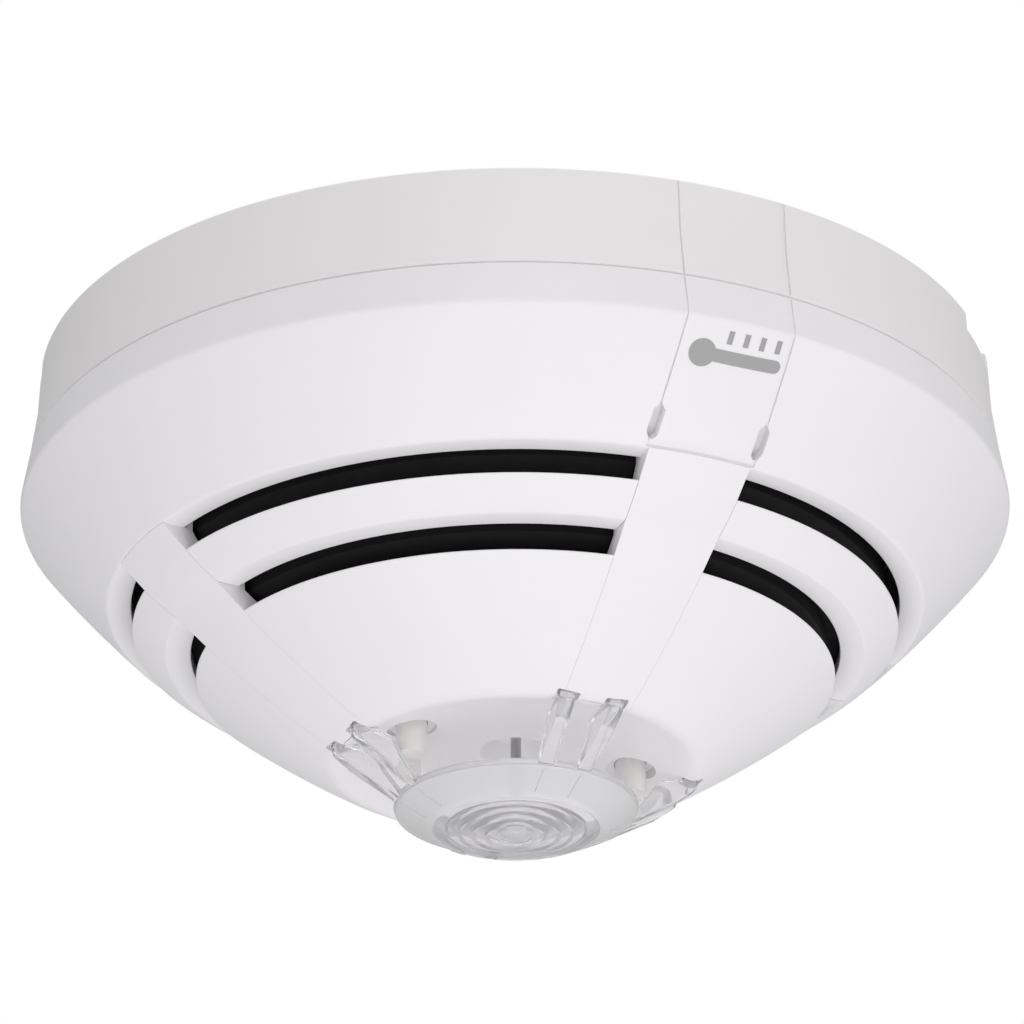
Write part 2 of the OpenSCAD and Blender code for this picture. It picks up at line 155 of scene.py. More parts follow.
# ---- Outlines, as lists of (radius, height) ----
def bow(start, end, bulge, steps=FINE):
    """Points from start to end on a line that bulges outwards."""
    dx, dz = end[0] - start[0], end[1] - start[1]
    size = math.hypot(dx, dz)
    nx, nz = -dz / size, dx / size
    out = []
    for i in range(steps + 1):
        t = i / steps
        k = bulge * 4 * t * (1 - t)
        out.append((start[0] + dx * t + nx * k, start[1] + dz * t + nz * k))
    return out


def rounded(corners, steps=8):
    """A closed outline whose corners are (x, y) or (x, y, radius)."""
    out = []
    count = len(corners)
    for i, (x, y, *rest) in enumerate(corners):
        r = rest[0] if rest else 0
        if r <= 0:
            out.append((x, y))
            continue
        corner = Vector((x, y))
        before = Vector(corners[i - 1][:2]) - corner
        after = Vector(corners[(i + 1) % count][:2]) - corner
        half = before.angle(after) / 2
        cut = min(r / math.tan(half), before.length * 0.49, after.length * 0.49)
        r = cut * math.tan(half)
        centre = corner + (before.normalized() + after.normalized()).normalized() * (r / math.sin(half))
        p = corner + before.normalized() * cut - centre
        q = corner + after.normalized() * cut - centre
        turn = math.atan2(p.x * q.y - p.y * q.x, p.dot(q))
        for k in range(steps + 1):
            v = Matrix.Rotation(turn * k / steps, 2) @ p + centre
            out.append((v.x, v.y))
    return out


def flat(points):
    """Corners without a rounding."""
    return [(x, z, 0) for x, z in points]


def section(near, far, top, bottom):
    """A rectangle between two radii and two heights."""
    return [(near, top), (far, top), (far, bottom), (near, bottom)]


def inset(points, depth):
    """Points of the cone, moved in by a depth at right angles to its face."""
    return [(x - depth * CONE_OUT[0], z + depth * CONE_OUT[1]) for x, z in points]


CONE = bow((CREASE_R, CREASE_Z), (CONE_R, VENT1_Z), 0.2)
LOUVRE = bow((VENT1_R, LOUVRE_TOP), (LOUVRE_R, VENT2_Z), 0.1, 8)
NOSE = bow((NOSE_R, NOSE_TOP), (LIP_R, LIP_Z), 0.28)

# Lays a flat shape on the slope of the cone, at the front
ON_CONE = Matrix.Rotation(math.pi - math.atan2(CREASE_R - CONE_R, CREASE_Z - VENT1_Z), 4, "X")


# ---- Mesh building ----
def shade(obj, angle):
    """Smooth shading, with edges sharper than the angle kept sharp."""
    mesh = obj.data
    mesh.polygons.foreach_set("use_smooth", [True] * len(mesh.polygons))
    mesh.set_sharp_from_angle(angle=math.radians(angle))


def make(name, verts, faces, smooth=32):
    """An object from points in millimetres, with its normals facing outwards."""
    mesh = bpy.data.meshes.new(name)
    mesh.from_pydata([[c * MM for c in v] for v in verts], [], faces)
    bm = bmesh.new()
    bm.from_mesh(mesh)
    bmesh.ops.remove_doubles(bm, verts=bm.verts, dist=1e-7)
    bmesh.ops.recalc_face_normals(bm, faces=bm.faces)
    bm.to_mesh(mesh)
    bm.free()
    obj = bpy.data.objects.new(name, mesh)
    bpy.context.scene.collection.objects.link(obj)
    shade(obj, smooth)
    return obj


def lathe(name, outline, steps=ROUND):
    """A closed outline turned about Z."""
    verts, faces = [], []
    n = len(outline)
    for j in range(steps):
        a = 2 * math.pi * j / steps
        verts += [(r * math.cos(a), r * math.sin(a), z) for r, z in outline]
    for j in range(steps):
        k = (j + 1) % steps
        for i in range(n):
            m = (i + 1) % n
            faces.append((j * n + i, j * n + m, k * n + m, k * n + i))
    return make(name, verts, faces)


def swept(name, outline, angle, steps):
    """A closed outline swept part of a turn about Z. angle(t, r) gives a radius its place, t being 0 to 1."""
    verts, faces = [], []
    n = len(outline)
    for j in range(steps + 1):
        for r, z in outline:
            a = angle(j / steps, r)
            verts.append((r * math.cos(a), r * math.sin(a), z))
    for j in range(steps):
        for i in range(n):
            m = (i + 1) % n
            faces.append((j * n + i, j * n + m, (j + 1) * n + m, (j + 1) * n + i))
    faces.append(tuple(range(n)))
    faces.append(tuple(steps * n + i for i in range(n)))
    return make(name, verts, faces)


def slice_solid(name, outline, half, steps=10):
    """A slice at the front (-Y) between two straight edges. half(r) gives half its width at a radius."""
    return swept(name, outline, lambda t, r: (2 * t - 1) * math.asin(half(r) / r) - math.pi / 2, steps)


def sector(degrees):
    """Half widths that make a slice a sector, with this angle to either side."""
    return lambda r: r * math.sin(math.radians(degrees))


def prism(name, outline, z0, z1, smooth=32):
    """A plan outline, a list of (x, y), raised from z0 to z1."""
    n = len(outline)
    verts = [(x, y, z0) for x, y in outline] + [(x, y, z1) for x, y in outline]
    faces = [(i, (i + 1) % n, n + (i + 1) % n, n + i) for i in range(n)]
    faces += [tuple(range(n)), tuple(range(n, 2 * n))]
    return make(name, verts, faces, smooth)


def box(name, lo, hi):
    """A block between two opposite corners."""
    return prism(name, [(lo[0], lo[1]), (hi[0], lo[1]), (hi[0], hi[1]), (lo[0], hi[1])], lo[2], hi[2])


def disc_outline(r, centre=(0, 0), steps=48):
    angles = [2 * math.pi * k / steps for k in range(steps)]
    return [(centre[0] + r * math.cos(a), centre[1] + r * math.sin(a)) for a in angles]


def slot_outline(length, width, centre=(0, 0)):
    """A slot along X with round ends."""
    out = []
    steps = 12
    for side in (1, -1):
        for k in range(steps + 1):
            a = -math.pi / 2 + math.pi * k / steps
            x = side * ((length - width) / 2 + width / 2 * math.cos(a))
            out.append((centre[0] + x, centre[1] + side * width / 2 * math.sin(a)))
    return out


def place(obj, matrix):
    """Moves the mesh, so that the object stays at the origin."""
    obj.data.transform(matrix)
    return obj


def spun(obj, degrees):
    """Turns a mesh about Z."""
    return place(obj, Matrix.Rotation(math.radians(degrees), 4, "Z"))


def moved(obj, x, y, z):
    return place(obj, Matrix.Translation((x * MM, y * MM, z * MM)))


def apply_modifiers(obj, smooth):
    """Turns an object's modifiers into its mesh."""
    graph = bpy.context.evaluated_depsgraph_get()
    mesh = bpy.data.meshes.new_from_object(obj.evaluated_get(graph))
    old = obj.data
    obj.modifiers.clear()
    obj.data = mesh
    bpy.data.meshes.remove(old)
    shade(obj, smooth)
    return obj


def boolean(obj, cutters, operation="DIFFERENCE", smooth=32):
    """Applies the cutters one after another and removes them."""
    for cutter in cutters:
        mod = obj.modifiers.new("cut", "BOOLEAN")
        mod.operation = operation
        mod.solver = "EXACT"
        mod.object = cutter
    apply_modifiers(obj, smooth)
    for cutter in cutters:
        bpy.data.objects.remove(cutter)
    return obj


def bevel(obj, width, angle=40):
    """Rounds every edge that is sharper than the angle."""
    mod = obj.modifiers.new("round", "BEVEL")
    mod.width = width * MM
    mod.segments = 2
    mod.limit_method = "ANGLE"
    mod.angle_limit = math.radians(angle)
    mod.use_clamp_overlap = True
    mod.harden_normals = False
    return apply_modifiers(obj, 40)


def joined(name, parts):
    """One object from several meshes that don't touch."""
    bm = bmesh.new()
    for part in parts:
        bm.from_mesh(part.data)
    mesh = bpy.data.meshes.new(name)
    bm.to_mesh(mesh)
    bm.free()
    for part in parts:
        bpy.data.objects.remove(part)
    obj = bpy.data.objects.new(name, mesh)
    bpy.context.scene.collection.objects.link(obj)
    shade(obj, 40)
    return obj


def settle(obj, body, slot, node, *materials):
    """Gives a finished piece its body, the node it stands for and its materials. The slot is not used."""
    obj.data.materials.clear()
    for material in materials:
        obj.data.materials.append(material)
    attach(obj, body)
    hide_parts(node)


# ---- Materials ----
def new_material(name):
    """An empty material with its shader, as (material, nodes, links, shader)."""
    mat = bpy.data.materials.new(name)
    mat.use_nodes = True
    nodes = mat.node_tree.nodes
    nodes.clear()
    out = nodes.new("ShaderNodeOutputMaterial")
    shader = nodes.new("ShaderNodeBsdfPrincipled")
    mat.node_tree.links.new(shader.outputs["BSDF"], out.inputs["Surface"])
    return mat, nodes, mat.node_tree.links, shader


def noise(nodes, links, scale, detail, stretch=None):
    """A noise over the object's own coordinates, in metres; returns its value."""
    coords = nodes.new("ShaderNodeTexCoord")
    mapping = nodes.new("ShaderNodeMapping")
    if stretch:
        mapping.inputs["Scale"].default_value = stretch
    tex = nodes.new("ShaderNodeTexNoise")
    tex.inputs["Scale"].default_value = scale
    tex.inputs["Detail"].default_value = detail
    links.new(coords.outputs["Object"], mapping.inputs["Vector"])
    links.new(mapping.outputs["Vector"], tex.inputs["Vector"])
    return tex.outputs["Fac"]


def vary_roughness(nodes, links, shader, source, smoothest, roughest):
    """Maps a texture's 0.3 to 0.7 on to a range of roughness."""
    node = nodes.new("ShaderNodeMapRange")
    node.inputs["From Min"].default_value = 0.3
    node.inputs["From Max"].default_value = 0.7
    node.inputs["To Min"].default_value = smoothest
    node.inputs["To Max"].default_value = roughest
    links.new(source, node.inputs["Value"])
    links.new(node.outputs["Result"], shader.inputs["Roughness"])


def tint(nodes, links, shader, source, dark, light):
    """Colours the shader between two tones."""
    node = nodes.new("ShaderNodeMix")
    node.data_type = "RGBA"
    links.new(source, node.inputs["Factor"])
    node.inputs["A"].default_value = (*dark, 1)
    node.inputs["B"].default_value = (*light, 1)
    links.new(node.outputs["Result"], shader.inputs["Base Color"])


def bump(nodes, links, shader, height, distance, strength):
    """Relief from a texture, its distance in metres."""
    node = nodes.new("ShaderNodeBump")
    node.inputs["Strength"].default_value = strength
    node.inputs["Distance"].default_value = distance
    links.new(height, node.inputs["Height"])
    links.new(node.outputs["Normal"], shader.inputs["Normal"])


def moulded(name, colour, roughness, grain=0.00002, spread=0.015, specular=0.45):
    """Moulded plastic: a fine spark-eroded grain, faint flow marks and a slight change of tone."""
    mat, nodes, links, shader = new_material(name)
    dark = [max(0, c - spread) for c in colour]
    light = [min(1, c + spread) for c in colour]
    tint(nodes, links, shader, noise(nodes, links, 60, 2), dark, light)
    patches = noise(nodes, links, 450, 3)
    vary_roughness(nodes, links, shader, patches, roughness - 0.05, roughness + 0.06)
    shader.inputs["Specular IOR Level"].default_value = specular
    bump(nodes, links, shader, noise(nodes, links, 5200, 2), grain, 0.35)
    return mat


def metal(name, colour, roughness, stretch=(1, 1, 0.05), scale=2600):
    """Drawn or plated metal with fine marks along one direction."""
    mat, nodes, links, shader = new_material(name)
    shader.inputs["Metallic"].default_value = 1.0
    marks = noise(nodes, links, scale, 4, stretch)
    tint(nodes, links, shader, marks, [c * 0.86 for c in colour], colour)
    vary_roughness(nodes, links, shader, marks, roughness * 0.75, roughness * 1.3)
    bump(nodes, links, shader, marks, 0.000012, 0.3)
    return mat


def clear(name, colour, roughness, weight, ripple=0.00001, scale=900):
    """Clear moulded acrylic with slight sink marks. A lower weight makes it milky."""
    mat, nodes, links, shader = new_material(name)
    shader.inputs["Transmission Weight"].default_value = weight
    shader.inputs["IOR"].default_value = 1.49
    waves = noise(nodes, links, scale, 2)
    tint(nodes, links, shader, waves, [c * 0.985 for c in colour], colour)
    vary_roughness(nodes, links, shader, waves, roughness * 0.8, roughness * 1.2)
    bump(nodes, links, shader, waves, ripple, 0.25)
    return mat


def board_mask(name):
    """Solder resist over faint tracks."""
    mat, nodes, links, shader = new_material(name)
    coords = nodes.new("ShaderNodeTexCoord")
    tracks = nodes.new("ShaderNodeTexWave")
    tracks.wave_type = "BANDS"
    tracks.inputs["Scale"].default_value = 140
    tracks.inputs["Distortion"].default_value = 6
    links.new(coords.outputs["Object"], tracks.inputs["Vector"])
    tint(nodes, links, shader, tracks.outputs["Fac"], (0.012, 0.10, 0.045), (0.02, 0.16, 0.07))
    shader.inputs["Roughness"].default_value = 0.32
    bump(nodes, links, shader, tracks.outputs["Fac"], 0.00003, 0.3)
    return mat


COVER = moulded("cover_white", (0.893, 0.876, 0.897), 0.42)
BASE = moulded("base_white", (0.88, 0.862, 0.872), 0.45)
INNER = moulded("inner_white", (0.885, 0.862, 0.85), 0.5)
GREY = moulded("label_grey", (0.39, 0.385, 0.39), 0.55, spread=0.01)
BLACK = moulded("shield_black", (0.012, 0.012, 0.012), 0.75, spread=0.003, specular=0.2)
LEVER = moulded("lever_black", (0.03, 0.03, 0.032), 0.5, spread=0.006)
RUBBER = moulded("seal_rubber", (0.025, 0.025, 0.025), 0.8, grain=0.00004, spread=0.006)
CHIP = moulded("component_black", (0.02, 0.02, 0.022), 0.4, spread=0.004)
LED_RED = moulded("led_red", (0.45, 0.03, 0.02), 0.2, grain=0.000004)
GLASS_BEAD = moulded("thermistor_glass", (0.05, 0.05, 0.055), 0.15, grain=0.000004, spread=0.01)
STEEL = metal("sensor_steel", (0.52, 0.52, 0.54), 0.1)
ZINC = metal("zinc_steel", (0.66, 0.66, 0.66), 0.3, (1, 1, 1), 1400)
BRASS = metal("terminal_brass", (0.72, 0.58, 0.32), 0.28, (1, 0.2, 1), 1600)
CAN = metal("capacitor_case", (0.60, 0.60, 0.63), 0.25)
BOARD = board_mask("board_green")
CLEAR = clear("clear_plastic", (0.97, 0.965, 0.98), 0.06, 0.85)
FROST = clear("frosted_plastic", (0.875, 0.868, 0.882), 0.22, 0.48, 0.000002, 1200)
LENS = clear("lens_plastic", (0.95, 0.94, 0.965), 0.05, 0.82, 0.000002)


# ---- Camera, light and floor ----
CAMERA_TURN = -25.7


def add_camera():
    """Looks up at the detector from below, with the label rib to the right of the middle."""
    turn = Matrix.Rotation(math.radians(CAMERA_TURN), 3, "Z")
    pitch = math.radians(25.05)
    roll = math.radians(-0.2)
    place_mm = turn @ Vector((0, -644.5, -317.3))
    ahead = turn @ Vector((0, math.cos(pitch), math.sin(pitch)))
    level_right = turn @ Vector((1, 0, 0))
    level_up = level_right.cross(ahead)
    right = level_right * math.cos(roll) + level_up * math.sin(roll)
    up = right.cross(ahead)
    data = bpy.data.cameras.new("camera")
    data.lens = 210.9375
    data.sensor_width = 36.0
    data.clip_start = 0.01
    data.clip_end = 20
    data.shift_x = -0.00293
    cam = bpy.data.objects.new("camera", data)
    bpy.context.scene.collection.objects.link(cam)
    axes = Matrix((right, up, -ahead)).transposed().to_4x4()
    cam.matrix_world = Matrix.Translation(place_mm * MM) @ axes
    bpy.context.scene.camera = cam


def add_area(name, spot, size, power):
    """A soft round light aimed at the detector. Its spot is in metres to the camera's right, ahead and up."""
    data = bpy.data.lights.new(name, "AREA")
    data.shape = "DISK"
    data.size = size
    data.energy = power
    light = bpy.data.objects.new(name, data)
    bpy.context.scene.collection.objects.link(light)
    light.visible_camera = False
    spot = Matrix.Rotation(math.radians(CAMERA_TURN), 3, "Z") @ Vector(spot)
    aim = Vector((0, 0, -0.03)) - spot
    light.matrix_world = Matrix.Translation(spot) @ aim.to_track_quat("-Z", "Y").to_matrix().to_4x4()


def add_world():
    """A white surround that lights the object less brightly than the camera sees it."""
    seen_strength, lit_strength = 1.0, 0.43
    world = bpy.data.worlds.new("studio")
    bpy.context.scene.world = world
    world.use_nodes = True
    nodes = world.node_tree.nodes
    links = world.node_tree.links
    nodes.clear()
    out = nodes.new("ShaderNodeOutputWorld")
    mix = nodes.new("ShaderNodeMixShader")
    rays = nodes.new("ShaderNodeLightPath")
    links.new(rays.outputs["Is Camera Ray"], mix.inputs["Fac"])
    for socket, strength in ((1, lit_strength), (2, seen_strength)):
        background = nodes.new("ShaderNodeBackground")
        background.inputs["Color"].default_value = (1, 1, 1, 1)
        background.inputs["Strength"].default_value = strength
        links.new(background.outputs["Background"], mix.inputs[socket])
    links.new(mix.outputs["Shader"], out.inputs["Surface"])


def add_floor():
    """A plain pale floor far below the detector."""
    size = 2500
    depth = -430
    floor = box("floor", (-size, -size, depth - 5), (size, size, depth))
    floor.data.materials.append(moulded("floor_white", (0.9, 0.9, 0.9), 0.6))


def add_studio():
    add_world()
    add_floor()
    add_area("below", (0, -0.1, -0.41), size=0.6, power=0.84)
    add_area("right", (1.0, -0.35, -0.15), size=0.6, power=1.37)
    add_area("front", (0.0, -0.85, 0.35), size=0.7, power=2.1)
    add_area("top", (0, 0.1, 1.0), size=0.9, power=5.7)
    bpy.context.scene.view_settings.view_transform = "Standard"


# ---- Base ----
def skirt_face():
    """The skirt from its ceiling edge down the outside, round the seam edge and part of the way up inside."""
    return [(BASE_TOP_R, 0, 0.5), BASE_MID, (BASE_SEAM_R, BASE_LOW, 0.3),
            (BASE_SEAM_R - SKIRT_T, BASE_LOW, 0.2), (BASE_MID[0] - SKIRT_T, BASE_MID[1])]


def base_outline():
    """The section of the base: ceiling face with its relief, skirt, plate, stiffening ring and collar."""
    relief_in, relief_out, relief = RELIEF
    ring_in, ring_out, ring = STIFFENER
    back = -PLATE_T
    return rounded([(CABLE_R, 0, 0.5), (relief_in, 0, 0.2), (relief_in + 0.2, -relief, 0.2),
                    (relief_out - 0.2, -relief, 0.2), (relief_out, 0, 0.2), *skirt_face(),
                    (SKIRT_IN + 0.4, back, 0.6), (ring_out, back, 0.3), (ring_out, back - ring, 0.3),
                    (ring_in, back - ring, 0.3), (ring_in, back, 0.3), (COLLAR_R, back, 0.3),
                    (COLLAR_R, back - COLLAR_H, 0.4), (CABLE_R, back - COLLAR_H, 0.4)])


def bayonet_ledge(az):
    """A wall with an inward ledge, and the end stop for the lug."""
    near, far = BAYONET_WALL
    wall = section(near, far, BAYONET_TOP, BAYONET_LOW)
    ledge = section(BAYONET_IN, near + 0.1, BAYONET_LOW + 1, BAYONET_LOW)
    stop = section(BAYONET_IN, far, BAYONET_TOP, BAYONET_LOW)
    return [spun(slice_solid("wall", wall, sector(9)), az),
            spun(slice_solid("ledge", ledge, sector(9)), az),
            spun(slice_solid("stop", stop, sector(1.5)), az + 10)]


def base_adds():
    """Radial pads in the relief, bosses round the slots, pedestals of the terminals and the bayonet."""
    adds = [spun(box("pad", (22.5, -1, -1), (52.5, 1, 0)), 22.5 + 45 * k) for k in range(8)]
    boss = slot_outline(SLOT[0] + 3, SLOT[1] + 3)
    for side in (-1, 1):
        adds.append(moved(prism("ring", disc_outline(9.5), -1, 0), side * SLOT_X, 0, 0))
        adds.append(moved(prism("boss", boss, -PLATE_T - 1, -1), side * SLOT_X, 0, 0))
    for k in range(4):
        pedestal = box("pedestal", (-6, -TERMINAL_R - 5, -PLATE_T - 1.2), (6, -TERMINAL_R + 5, -1))
        adds.append(spun(pedestal, 45 + 90 * k))
    for k in range(3):
        adds += bayonet_ledge(60 + 120 * k)
    return adds


def base_cuts():
    """Fixing slots, screw holes, the index tab's seat and grooves, cable cut-outs and the pin's hole."""
    cuts = [moved(prism("slot", slot_outline(*SLOT), -9, 3), side * SLOT_X, 0, 0) for side in (-1, 1)]
    for k in range(4):
        cuts.append(spun(moved(prism("hole", disc_outline(1.25), -9, 3), 0, -TERMINAL_R, 0), 45 + 90 * k))
    seat = LABEL_HALF + 0.02
    cuts.append(box("seat", (-seat, -60, -20), (seat, -SKIRT_IN, 1)))
    groove = [(BASE_TOP_R - GROOVE_DEPTH, 1), (FAR_R, 1), (FAR_R, -20), (BASE_SEAM_R - GROOVE_DEPTH, -20),
              (BASE_SEAM_R - GROOVE_DEPTH, BASE_LOW), (BASE_MID[0] - GROOVE_DEPTH, BASE_MID[1])]
    cuts.append(slice_solid("groove", groove, lambda r: LABEL_HALF + GROOVE))
    for az in CABLE_CUTS:
        cuts.append(spun(box("cable_cut", (-5.7, -60, -2.5), (5.7, -46, 2)), az))
    cuts.append(prism("pivot_hole", disc_outline(1.5, PIVOT), -12, 2))
    return cuts


def build_base():
    base = lathe("base_shell", base_outline())
    boolean(base, base_adds(), "UNION")
    boolean(base, base_cuts())
    bevel(base, 0.18, 50)
    settle(base, "base", "base_white", "base_body", BASE)


def build_index_tab():
    outline = rounded([(SKIRT_IN, 0), *skirt_face(), (SKIRT_IN, -PLATE_T)])
    tab = slice_solid("index_tab_piece", outline, lambda r: LABEL_HALF)
    bevel(tab, 0.15)
    settle(tab, "base", "base_white", "index_tab", BASE)


# ---- Head shell ----
def upstand():
    """A thin lip that closes the seam with the base from inside."""
    inner, outer, top = SEAM_R - 0.8, SEAM_R - 0.3, BASE_LOW - 0.02
    return [(inner, SEAM_Z), (inner, top), (outer, top), (outer, SEAM_Z)]


def cover_outline():
    """The section of the cover: band, cone, turned-in edge of the air slot, and the inside."""
    inner = [(x - 1.35, z + 1.2) for x, z in reversed(CONE)]
    return rounded([(SEAM_R, SEAM_Z, 0.25), (CREASE_R, CREASE_Z, 1.0), *flat(CONE[2:-2]),
                    (CONE_R, VENT1_Z, 0.9), (VENT1_R, VENT1_Z, 0.15), (VENT1_R, VENT1_Z + 1.8),
                    *flat(inner[2:-2]), (CREASE_R - 2.4, -16.5), (SEAM_R - 2, SEAM_Z, 0.2), *upstand()])


def label_seat(depth, half):
    """Everything outside a depth under the cover's surface, as far as half to either side, as a cutter."""
    under = [(SEAM_R - depth, SEAM_Z), *inset(CONE, depth)]
    seat = [(SEAM_R - depth, 5), (FAR_R, 5), (FAR_R, -34), *reversed(under)]
    return slice_solid("seat", seat, lambda r: half, 16)


def pry_notch(side, depth):
    """A slanted pocket across a lower edge of the label plate."""
    w, half = 0.7, 2.2
    shape = [(w, 0.9 - half), (w, half - 0.9), (0, half), (-w, half - 0.8), (-w, 0.6 - half), (-0.3, -half),
             (0.2, -half)]
    cutter = place(prism("notch", [(x * side, y) for x, y in shape], -depth, 2), ON_CONE)
    return moved(cutter, side * LABEL_HALF, -49.8, -27.4)


def build_outer_cover():
    cover = lathe("outer_cover_shell", cover_outline())
    boolean(cover, [label_seat(1.2, LABEL_HALF + 0.02), label_seat(GROOVE_DEPTH, LABEL_HALF + GROOVE),
                    pry_notch(-1, 1.6), pry_notch(1, 1.6)])
    settle(cover, "head", "cover_white", "outer_cover", COVER)


def build_label_plate():
    thick = 1.1
    back = inset(reversed(CONE), thick)
    outline = rounded([(SEAM_R, SEAM_Z, 0.25), (CREASE_R, CREASE_Z, 1.0), *flat(CONE[2:-2]),
                       (CONE_R + 0.66, VENT1_Z + 0.76, 0.35), (CONE_R - 0.28, VENT1_Z + 0.26, 0.1),
                       (CONE_R - 0.6, VENT1_Z + 1.05), *flat(back[2:]), (SEAM_R - thick, SEAM_Z), *upstand()])
    plate = slice_solid("label_plate_piece", outline, lambda r: LABEL_HALF, 24)
    boolean(plate, [pry_notch(-1, 2), pry_notch(1, 2)])
    bevel(plate, 0.15, 50)
    settle(plate, "head", "cover_white", "label_plate", COVER)


def symbol_stamps():
    """A lying thermometer and its four ticks, as upright cutters round the symbol's middle."""
    bulb = (-3.8, -0.3)
    stem = 0.75
    length = 9
    tick_w, tick_low, tick_high = 0.65, 1.2, 2.7
    tube = slot_outline(length + 2 * stem, 2 * stem, (bulb[0] + length / 2, bulb[1]))
    thermometer = prism("stamp", disc_outline(1.6, bulb), -3, 3)
    boolean(thermometer, [prism("stamp", tube, -3, 3)], "UNION")
    ticks = [box("stamp", (x, tick_low, -3), (x + tick_w, tick_high, 3)) for x in (-1.3, 0.7, 2.7, 4.7)]
    return [thermometer, *ticks]


def build_label_symbol():
    """The printed pictogram, as a thin skin that follows the plate's curve."""
    skin = 0.04
    back = [(x - 0.2, z + 0.18) for x, z in reversed(CONE)]
    shell = slice_solid("symbol_shell", inset(CONE, -skin) + back, lambda r: RIB_WIDE, 48)
    middle = CONE[6]
    parts = []
    for stamp in symbol_stamps():
        moved(place(stamp, ON_CONE), 0, -middle[0], middle[1])
        copy = shell.copy()
        copy.data = shell.data.copy()
        bpy.context.scene.collection.objects.link(copy)
        parts.append(boolean(copy, [stamp], "INTERSECT"))
    bpy.data.objects.remove(shell)
    settle(joined("label_symbol_print", parts), "head", "label_grey", "label_symbol", GREY)


def rib_half(r):
    """Half the width of a rib at a radius."""
    t = min(1, max(0, (r - RIB_NEAR) / (RIB_FAR - RIB_NEAR)))
    return RIB_NARROW + t * (RIB_WIDE - RIB_NARROW)


def louvre_angle(t, r):
    """Where a radius is between the first rib and the second."""
    edge = math.asin((rib_half(r) + SEAM) / r)
    return edge + (math.pi / 2 - 2 * edge) * t


def build_louvre():
    """The ring between the air slots, as four arcs between the ribs."""
    outline = rounded([(VENT1_R, LOUVRE_TOP, 0.12), *flat(LOUVRE[1:-1]), (LOUVRE_R, VENT2_Z, 0.8),
                       (38.0, VENT2_Z, 0.15), (38.0, VENT2_Z + 1.4), (LOUVRE_R - 0.4, VENT2_Z + 1.4),
                       (VENT1_R - 2.4, LOUVRE_TOP)])
    arcs = [spun(swept("louvre", outline, louvre_angle, ROUND // 4), 90 * q) for q in range(4)]
    settle(joined("louvre_arcs", arcs), "head", "cover_white", "louvre_ring", COVER)


def lip_line():
    """The rounded lip of the bowl, from the nose's cone to the bowl."""
    return rounded([NOSE[-4], LIP, BOWL[0]], 14)[1:-1]


def nose_outline():
    """The section of the nose: cone, lip, bowl with its recess and the sleeve's hole, and the inside."""
    inner = [(x - 0.93, z + 1.42) for x, z in reversed(NOSE)]
    mouth, floor_r, depth = RECESS
    floor = BOWL_Z + depth
    back = BOWL_Z + 1.5
    hole = SLEEVE_R + 0.12
    bowl = rounded([LIP[:2], (*BOWL[0], 6), (*BOWL[1], 6), (*BOWL[2], 8), (8, BOWL_Z)])[1:-1]
    return rounded([(NOSE_R, NOSE_TOP, 0.12), *flat(NOSE[1:-3]), *flat(lip_line()), *flat(bowl),
                    (mouth, BOWL_Z, 0.3), (floor_r, floor, 0.4), (hole, floor, 0.1), (hole, CUP_Z),
                    (floor_r + 1.2, CUP_Z), (mouth + 1.4, back), (15, back), (20.0, -46.2),
                    *flat(inner[1:-2])])


def rib_wedge(q):
    """The plan of one rib with its seams, for cutting the nose."""
    near, far = RIB_NARROW + SEAM, RIB_WIDE + SEAM
    plan = [(-near, -RIB_NEAR), (near, -RIB_NEAR), (far, -RIB_FAR), (-far, -RIB_FAR)]
    return spun(prism("wedge", plan, -60, -26), 90 * q)


def leg_blocks(half, near, far, top):
    """One block for each leg of the light guide, as a single cutter."""
    blocks = []
    for q in range(4):
        for side in (-1, 1):
            x = side * LEG_X
            plan = rounded([(x - half, -far, 0.25), (x + half, -far, 0.25), (x + half, -near, 0.25),
                            (x - half, -near, 0.25)], 4)
            blocks.append(spun(prism("block", plan, -52, top), 90 * q + GUIDE_TURN))
    return joined("leg_blocks", blocks)


def leg_cuts():
    """A shallow recess round each leg where it leaves the nose, and the leg's hole above it."""
    hole = LEG_W / 2 + 0.15
    return [leg_blocks(hole + 0.35, 19.0, 22.1, -47.9), leg_blocks(hole, LED_R - 0.85, LED_R + 0.85, -30)]


def post_pockets():
    """A sloping pocket round each post, deeper towards the front, so that it runs out into the bowl."""
    slope = Matrix.Rotation(math.radians(-9), 4, "X")
    pockets = []
    for side in (-1, 1):
        pocket = place(prism("pocket", disc_outline(2.9), -4, 0), slope)
        pockets.append(moved(pocket, side * POST[0], POST[1], BOWL_Z + 0.4))
    return joined("pockets", pockets)


def post_holes():
    """A hole through the bowl for each post."""
    plan = disc_outline(POST_R + 0.1)
    holes = [moved(prism("hole", plan, -50, -40), side * POST[0], POST[1], 0) for side in (-1, 1)]
    return joined("holes", holes)


def build_nose():
    nose = lathe("nose_cone_piece", nose_outline())
    wedges = joined("wedges", [rib_wedge(q) for q in range(4)])
    boolean(nose, [wedges, *leg_cuts(), post_pockets(), post_holes()])
    settle(nose, "head", "cover_white", "nose_cone", COVER)


def rib_outline():
    """The section of a rib: flush with louvre, nose and lip outside, and stepped round the shield inside."""
    end = LIP_R - 0.94
    lip = [(r, z) for r, z in lip_line() if r >= end]
    return rounded([(CONE_R, VENT1_Z), *flat(LOUVRE), *flat(NOSE[:-3]), *flat(lip), (end, -47.2),
                    (24.4, -44.4), (30, -40.6), (35.6, -36.8), (37.3, -35.6), (37.3, -33.6), (39.5, -33.2),
                    (43, -31.4), (44.1, -29.8), (44.1, -26.4), (44.9, -26.4), (44.9, VENT1_Z)])


